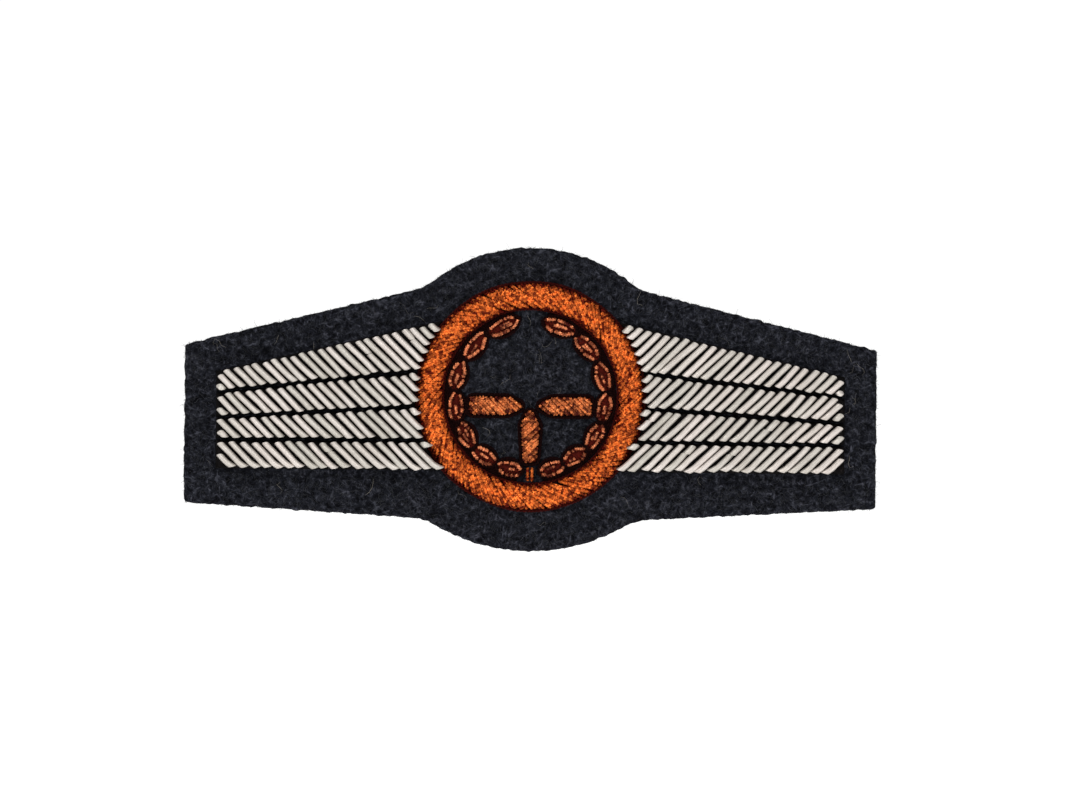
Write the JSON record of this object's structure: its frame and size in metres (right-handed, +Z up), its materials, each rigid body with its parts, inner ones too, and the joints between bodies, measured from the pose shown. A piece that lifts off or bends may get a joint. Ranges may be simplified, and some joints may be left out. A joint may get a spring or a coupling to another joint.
{
  "type": "pilot wings badge",
  "caption": "Embroidered pilot wings badge: silver purl feather bars, copper ring with wreath and propeller on slate wool, tack posts and butterfly clutches behind.",
  "frame": {"origin": "on the rear face of the back felt, behind the centre of the ring", "axes": "+X is the viewer's right, +Z is up as worn, -Y is the face of the badge and +Y points into the garment along the tack posts"},
  "size_m": [0.08, 0.0132, 0.0351],
  "materials": {
    "slate_wool": "matte felted wool",
    "buckram_canvas": "stiffened canvas",
    "black_back_felt": "matte felt",
    "black_padding": "matte felt padding",
    "silver_purl": "fine coiled wire, satin",
    "copper_purl": "fine coiled wire, glittering",
    "dark_thread": "twisted thread",
    "nickel_post": "nickel plated",
    "nickel_clutch": "nickel plated, stamped"
  },
  "bodies": {
    "badge": {"wool_cloth": "slate_wool", "buckram_stiffener": "buckram_canvas", "back_felt": "black_back_felt", "ring_padding": "black_padding", "ring_purl": "copper_purl", "ring_outer_outline": "dark_thread", "ring_inner_outline": "dark_thread", "left_feather_padding_1": "black_padding", "left_feather_purl_1": "silver_purl", "left_feather_padding_2": "black_padding", "left_feather_purl_2": "silver_purl", "left_feather_padding_3": "black_padding", "left_feather_purl_3": "silver_purl", "left_feather_padding_4": "black_padding", "left_feather_purl_4": "silver_purl", "right_feather_padding_1": "black_padding", "right_feather_purl_1": "silver_purl", "right_feather_padding_2": "black_padding", "right_feather_purl_2": "silver_purl", "right_feather_padding_3": "black_padding", "right_feather_purl_3": "silver_purl", "right_feather_padding_4": "black_padding", "right_feather_purl_4": "silver_purl", "left_blade_padding": "black_padding", "left_blade_purl": "copper_purl", "left_blade_outline": "dark_thread", "right_blade_padding": "black_padding", "right_blade_purl": "copper_purl", "right_blade_outline": "dark_thread", "lower_blade_padding": "black_padding", "lower_blade_purl": "copper_purl", "lower_blade_outline": "dark_thread", "left_leaf_1": "copper_purl", "left_leaf_2": "copper_purl", "left_leaf_3": "copper_purl", "left_leaf_4": "copper_purl", "left_leaf_5": "copper_purl", "left_leaf_6": "copper_purl", "left_leaf_7": "copper_purl", "left_leaf_outlines": "dark_thread", "right_leaf_1": "copper_purl", "right_leaf_2": "copper_purl", "right_leaf_3": "copper_purl", "right_leaf_4": "copper_purl", "right_leaf_5": "copper_purl", "right_leaf_6": "copper_purl", "right_leaf_7": "copper_purl", "right_leaf_outlines": "dark_thread", "wreath_tie": "copper_purl", "left_clutch_post": "nickel_post", "right_clutch_post": "nickel_post"},
    "left_clutch": {"left_clutch_base": "nickel_clutch", "left_clutch_cap": "nickel_clutch"},
    "left_upper_wing": {"left_clutch_upper_wing": "nickel_clutch"},
    "left_lower_wing": {"left_clutch_lower_wing": "nickel_clutch"},
    "right_clutch": {"right_clutch_base": "nickel_clutch", "right_clutch_cap": "nickel_clutch"},
    "right_upper_wing": {"right_clutch_upper_wing": "nickel_clutch"},
    "right_lower_wing": {"right_clutch_lower_wing": "nickel_clutch"}
  },
  "joints": [
    {"name": "left_clutch_slide", "type": "slide", "parent": "badge", "child": "left_clutch", "axis": [0, 1, 0], "range_m": [-0.0021, 0.008]},
    {"name": "left_upper_wing_hinge", "type": "hinge", "parent": "left_clutch", "child": "left_upper_wing", "pos_m": [-0.022, 0.00415, 0.00022], "axis": [-1, 0, 0], "range_deg": [0, 12], "stiffness_Nm_per_rad": 0.002},
    {"name": "left_lower_wing_hinge", "type": "hinge", "parent": "left_clutch", "child": "left_lower_wing", "pos_m": [-0.022, 0.00415, -0.00583], "axis": [1, 0, 0], "range_deg": [0, 12], "stiffness_Nm_per_rad": 0.002},
    {"name": "right_clutch_slide", "type": "slide", "parent": "badge", "child": "right_clutch", "axis": [0, 1, 0], "range_m": [-0.0021, 0.008]},
    {"name": "right_upper_wing_hinge", "type": "hinge", "parent": "right_clutch", "child": "right_upper_wing", "pos_m": [0.022, 0.00415, 0.00022], "axis": [-1, 0, 0], "range_deg": [0, 12], "stiffness_Nm_per_rad": 0.002},
    {"name": "right_lower_wing_hinge", "type": "hinge", "parent": "right_clutch", "child": "right_lower_wing", "pos_m": [0.022, 0.00415, -0.00583], "axis": [1, 0, 0], "range_deg": [0, 12], "stiffness_Nm_per_rad": 0.002}
  ],
  "couplings": [
    {"joint": "left_lower_wing_hinge", "follows": "left_upper_wing_hinge", "ratio": 1},
    {"joint": "right_lower_wing_hinge", "follows": "right_upper_wing_hinge", "ratio": 1}
  ]
}
